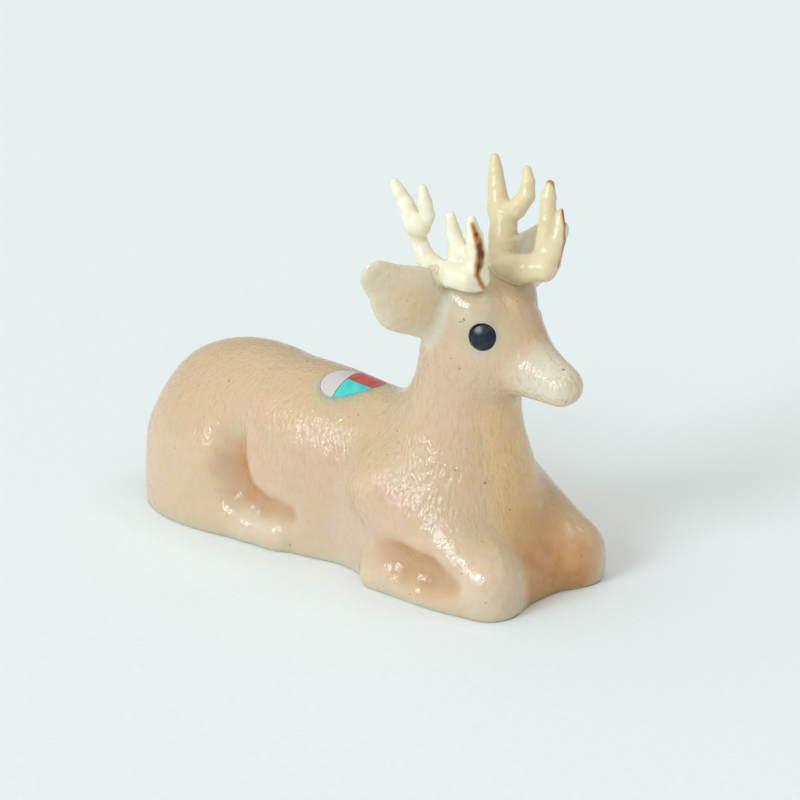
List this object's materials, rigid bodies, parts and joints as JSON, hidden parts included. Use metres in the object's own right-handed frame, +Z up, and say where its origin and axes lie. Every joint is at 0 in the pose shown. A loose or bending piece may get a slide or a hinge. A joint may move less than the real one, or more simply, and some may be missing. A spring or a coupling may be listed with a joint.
{
  "type": "carved stone deer figurine",
  "caption": "Small reclining buck carved from honey-coloured translucent stone, with carved ivory-coloured antlers, jet eyes and a stone inlay in the back.",
  "frame": {"origin": "on the flat resting face, in the head's plane of symmetry, about midway between rump and nose", "axes": "+X towards the nose, +Y towards the animal's left side, +Z up"},
  "size_m": [0.0561, 0.0283, 0.0442],
  "materials": {
    "honey_stone": "polished translucent onyx with fine carved hair strokes",
    "antler_bone": "satin polished antler with toasted brown streaks",
    "jet": "polished",
    "shell": "polished, faintly pearly",
    "turquoise": "polished",
    "coral": "polished",
    "dark_cement": "set epoxy, ground flush",
    "amber_cement": "set epoxy"
  },
  "bodies": {
    "root": {"body_stone": "honey_stone", "left_antler": "antler_bone", "right_antler": "antler_bone", "left_eye": "jet", "right_eye": "jet", "shell_inlay": "shell", "turquoise_inlay": "turquoise", "coral_inlay": "coral", "inlay_cement": "dark_cement", "left_antler_cement": "amber_cement", "right_antler_cement": "amber_cement", "left_eye_cement": "dark_cement", "right_eye_cement": "dark_cement"}
  },
  "joints": []
}
